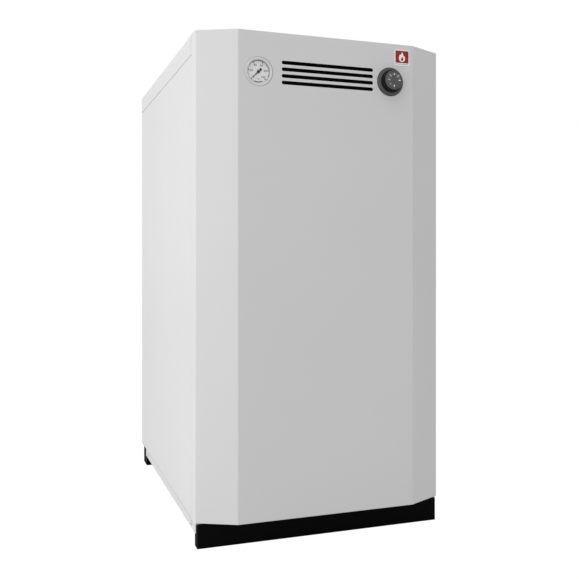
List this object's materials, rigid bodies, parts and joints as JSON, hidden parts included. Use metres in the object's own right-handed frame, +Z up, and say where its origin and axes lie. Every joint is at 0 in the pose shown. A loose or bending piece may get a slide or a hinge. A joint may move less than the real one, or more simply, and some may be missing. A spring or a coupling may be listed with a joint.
{
  "type": "floor-standing gas boiler",
  "caption": "White floor-standing atmospheric gas boiler with a hinged chamfered door, thermometer, thermostat knob, burner, heat exchanger and rear flue outlet.",
  "frame": {"origin": "on the floor, under the centre of the overall box", "axes": "+X to the right seen from the front, +Y to the back, the way the flue leaves, +Z up"},
  "size_m": [0.505, 0.7842, 0.9642],
  "materials": {
    "casing_enamel": "white powder coat, satin",
    "plinth_black": "black powder coat, satin",
    "galvanised": "galvanised sheet, dull",
    "bracket_black": "black paint, matt",
    "zinc_screws": "dark zinc plating",
    "gauge_case": "light grey moulded plastic",
    "gauge_dial": "white print, matt",
    "gauge_lens": "clear, polished",
    "needle_black": "matt black",
    "knob_plastic": "dark grey, fine texture",
    "badge_white": "white moulded plate under a red panel",
    "copper": "drawn copper tube, slightly dull",
    "brass": "machined brass",
    "valve_casting": "die cast, fine grain",
    "gas_pipe": "dark steel pipe with mill scale",
    "bright_steel": "bright drawn steel",
    "burner_steel": "stainless, heat tinted",
    "boiler_steel": "welded plate in grey primer",
    "wool_foil": "mineral wool faced with aluminium foil",
    "gasket_fibre": "ceramic fibre board",
    "housing_grey": "moulded plastic",
    "igniter_white": "glazed ceramic",
    "button_red": "moulded plastic",
    "lead_rubber": "silicone insulation",
    "sight_glass": "heat-proof, slightly amber",
    "flue_steel": "aluminised sheet"
  },
  "bodies": {
    "boiler": {"top_lid": "casing_enamel", "left_side_panel": "casing_enamel", "right_side_panel": "casing_enamel", "rear_panel": "galvanised", "base_tray": "casing_enamel", "front_plinth": "plinth_black", "rear_plinth": "plinth_black", "radiation_shield": "galvanised", "top_hinge_plate": "galvanised", "lower_hinge_pin": "bright_steel", "magnetic_catches": "housing_grey", "casing_screws": "zinc_screws", "control_bracket": "bracket_black", "thermometer_case": "gauge_case", "thermometer_dial": "gauge_dial", "thermometer_lens": "gauge_lens", "thermostat_housing": "housing_grey", "thermometer_capillary": "copper", "thermostat_capillary": "copper", "sensor_pocket": "brass", "valve_rail": "galvanised", "gas_valve_body": "valve_casting", "gas_inlet_pipe": "gas_pipe", "burner_supply_pipe": "bright_steel", "union_nuts": "brass", "gas_manifold": "bright_steel", "gas_injectors": "brass", "burner_tubes": "burner_steel", "burner_front_plate": "boiler_steel", "furnace_gasket": "gasket_fibre", "burner_plate_nuts": "zinc_screws", "sight_glass_frame": "galvanised", "sight_glass": "sight_glass", "pilot_burner": "burner_steel", "spark_electrode": "igniter_white", "thermocouple": "copper", "pilot_gas_tube": "copper", "piezo_igniter": "housing_grey", "ignition_lead": "lead_rubber", "water_jacket": "boiler_steel", "fire_tubes": "boiler_steel", "turbulators": "burner_steel", "support_rails": "galvanised", "insulation_jacket": "wool_foil", "front_insulation_pad": "wool_foil", "flow_pipe": "gas_pipe", "return_pipe": "gas_pipe", "flue_hood": "flue_steel", "flue_spigot": "flue_steel", "draught_sensor": "lead_rubber"},
    "door": {"front_door": "casing_enamel", "door_strike_plates": "galvanised", "badge_plate": "badge_white"},
    "gauge_needle": {"thermometer_needle": "needle_black"},
    "dial_knob": {"thermostat_knob": "knob_plastic", "thermostat_spindle": "bright_steel"},
    "tap_spindle": {"valve_spindle": "bright_steel"},
    "tap_knob": {"valve_knob": "housing_grey"},
    "igniter_button": {"piezo_button": "button_red"},
    "sight_flap": {"inspection_flap": "galvanised"}
  },
  "joints": [
    {"name": "door_swing", "type": "hinge", "parent": "boiler", "child": "door", "pos_m": [-0.2465, -0.3169, 0.5], "axis": [0, 0, -1], "range_deg": [0, 110]},
    {"name": "needle_turn", "type": "hinge", "parent": "boiler", "child": "gauge_needle", "pos_m": [-0.1394, -0.3699, 0.8842], "axis": [0, 1, 0], "range_deg": [0, 270]},
    {"name": "dial_knob_turn", "type": "hinge", "parent": "boiler", "child": "dial_knob", "pos_m": [0.1298, -0.3739, 0.8842], "axis": [0, 1, 0], "range_deg": [-90, 180]},
    {"name": "tap_push", "type": "slide", "parent": "boiler", "child": "tap_spindle", "axis": [0, 1, 0], "range_m": [0, 0.006], "stiffness_N_per_m": 900, "springref_m": -0.002},
    {"name": "tap_turn", "type": "hinge", "parent": "tap_spindle", "child": "tap_knob", "pos_m": [0.068, -0.3039, 0.33], "axis": [0, 1, 0], "range_deg": [0, 110]},
    {"name": "igniter_push", "type": "slide", "parent": "boiler", "child": "igniter_button", "axis": [0, 1, 0], "range_m": [0, 0.008], "stiffness_N_per_m": 700, "springref_m": -0.002},
    {"name": "flap_swing", "type": "hinge", "parent": "boiler", "child": "sight_flap", "pos_m": [-0.08, -0.2109, 0.275], "axis": [0, 1, 0], "range_deg": [0, 110]}
  ]
}
